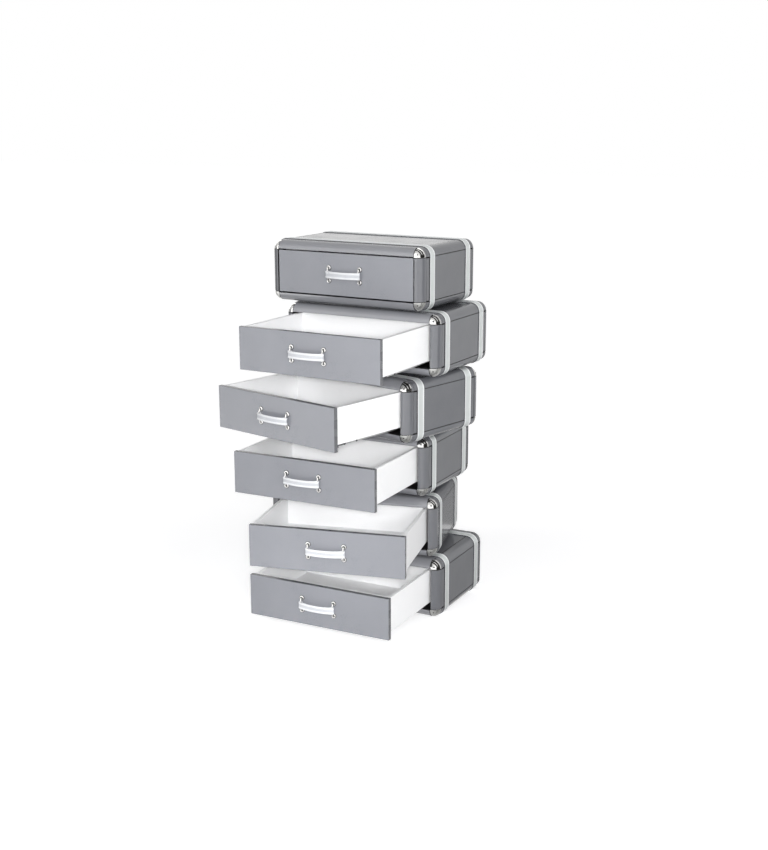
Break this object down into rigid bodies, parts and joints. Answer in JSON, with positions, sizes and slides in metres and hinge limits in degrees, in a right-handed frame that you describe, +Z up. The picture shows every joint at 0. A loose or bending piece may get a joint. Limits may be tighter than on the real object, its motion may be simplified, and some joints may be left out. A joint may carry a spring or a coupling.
{
  "type": "chest of drawers",
  "caption": "Tall chest made of stacked trunk-like cases, each turned on the one below and holding one drawer on undermount runners.",
  "frame": {"origin": "on the floor, under the middle of the whole chest's box with its drawers as stored", "axes": "+Z up, X along the bottom case's width, -Y the way its drawer opens"},
  "size_m": [0.8183, 0.9355, 1.4796],
  "materials": {
    "case_lacquer": "grey high-gloss lacquer",
    "front_lacquer": "grey high-gloss lacquer",
    "box_lacquer": "white satin lacquer",
    "corner_chrome": "polished",
    "handle_chrome": "polished",
    "strap_metal": "pale satin with brighter rims",
    "grip_leather": "white, stitched along both edges",
    "runner_steel": "zinc plated",
    "fastener_steel": "zinc plated",
    "spacer_plastic": "black"
  },
  "bodies": {
    "root": {"case_1_carcass": "case_lacquer", "case_1_corner_caps": "corner_chrome", "case_1_straps": "strap_metal", "case_2_carcass": "case_lacquer", "case_2_corner_caps": "corner_chrome", "case_2_straps": "strap_metal", "case_3_carcass": "case_lacquer", "case_3_corner_caps": "corner_chrome", "case_3_straps": "strap_metal", "case_4_carcass": "case_lacquer", "case_4_corner_caps": "corner_chrome", "case_4_straps": "strap_metal", "case_5_carcass": "case_lacquer", "case_5_corner_caps": "corner_chrome", "case_5_straps": "strap_metal", "case_6_carcass": "case_lacquer", "case_6_corner_caps": "corner_chrome", "case_6_straps": "strap_metal", "cabinet_runners": "runner_steel", "runner_screws": "fastener_steel", "stack_bolts": "fastener_steel", "stack_nuts": "fastener_steel", "stack_spacers": "spacer_plastic"},
    "drawer_1": {"drawer_1_front": "front_lacquer", "drawer_1_box": "box_lacquer", "drawer_1_handle_grip": "grip_leather", "drawer_1_handle_loops": "handle_chrome", "drawer_1_runners": "runner_steel"},
    "drawer_2": {"drawer_2_front": "front_lacquer", "drawer_2_box": "box_lacquer", "drawer_2_handle_grip": "grip_leather", "drawer_2_handle_loops": "handle_chrome", "drawer_2_runners": "runner_steel"},
    "drawer_3": {"drawer_3_front": "front_lacquer", "drawer_3_box": "box_lacquer", "drawer_3_handle_grip": "grip_leather", "drawer_3_handle_loops": "handle_chrome", "drawer_3_runners": "runner_steel"},
    "drawer_4": {"drawer_4_front": "front_lacquer", "drawer_4_box": "box_lacquer", "drawer_4_handle_grip": "grip_leather", "drawer_4_handle_loops": "handle_chrome", "drawer_4_runners": "runner_steel"},
    "drawer_5": {"drawer_5_front": "front_lacquer", "drawer_5_box": "box_lacquer", "drawer_5_handle_grip": "grip_leather", "drawer_5_handle_loops": "handle_chrome", "drawer_5_runners": "runner_steel"},
    "drawer_6": {"drawer_6_front": "front_lacquer", "drawer_6_box": "box_lacquer", "drawer_6_handle_grip": "grip_leather", "drawer_6_handle_loops": "handle_chrome", "drawer_6_runners": "runner_steel"},
    "middle_1": {"middle_runners_1": "runner_steel"},
    "middle_2": {"middle_runners_2": "runner_steel"},
    "middle_3": {"middle_runners_3": "runner_steel"},
    "middle_4": {"middle_runners_4": "runner_steel"},
    "middle_5": {"middle_runners_5": "runner_steel"},
    "middle_6": {"middle_runners_6": "runner_steel"}
  },
  "joints": [
    {"name": "drawer_1_slide", "type": "slide", "parent": "root", "child": "drawer_1", "axis": [-0.061, -0.9981, 0], "range_m": [0, 0.38]},
    {"name": "middle_1_slide", "type": "slide", "parent": "root", "child": "middle_1", "axis": [-0.061, -0.9981, 0], "range_m": [0, 0.19]},
    {"name": "drawer_2_slide", "type": "slide", "parent": "root", "child": "drawer_2", "axis": [-0.0454, -0.999, 0], "range_m": [-0.369, 0.011]},
    {"name": "middle_2_slide", "type": "slide", "parent": "root", "child": "middle_2", "axis": [-0.0454, -0.999, 0], "range_m": [-0.1845, 0.0055]},
    {"name": "drawer_3_slide", "type": "slide", "parent": "root", "child": "drawer_3", "axis": [-0.2436, -0.9699, 0], "range_m": [-0.362, 0.018]},
    {"name": "middle_3_slide", "type": "slide", "parent": "root", "child": "middle_3", "axis": [-0.2436, -0.9699, 0], "range_m": [-0.181, 0.009]},
    {"name": "drawer_4_slide", "type": "slide", "parent": "root", "child": "drawer_4", "axis": [0.0052, -1, 0], "range_m": [-0.36, 0.02]},
    {"name": "middle_4_slide", "type": "slide", "parent": "root", "child": "middle_4", "axis": [0.0052, -1, 0], "range_m": [-0.18, 0.01]},
    {"name": "drawer_5_slide", "type": "slide", "parent": "root", "child": "drawer_5", "axis": [0.2164, -0.9763, 0], "range_m": [-0.36, 0.02]},
    {"name": "middle_5_slide", "type": "slide", "parent": "root", "child": "middle_5", "axis": [0.2164, -0.9763, 0], "range_m": [-0.18, 0.01]},
    {"name": "drawer_6_slide", "type": "slide", "parent": "root", "child": "drawer_6", "axis": [0, -1, 0], "range_m": [-0.36, 0.02]},
    {"name": "middle_6_slide", "type": "slide", "parent": "root", "child": "middle_6", "axis": [0, -1, 0], "range_m": [-0.18, 0.01]}
  ],
  "couplings": [
    {"joint": "middle_1_slide", "follows": "drawer_1_slide", "ratio": 0.5},
    {"joint": "middle_2_slide", "follows": "drawer_2_slide", "ratio": 0.5},
    {"joint": "middle_3_slide", "follows": "drawer_3_slide", "ratio": 0.5},
    {"joint": "middle_4_slide", "follows": "drawer_4_slide", "ratio": 0.5},
    {"joint": "middle_5_slide", "follows": "drawer_5_slide", "ratio": 0.5},
    {"joint": "middle_6_slide", "follows": "drawer_6_slide", "ratio": 0.5}
  ]
}
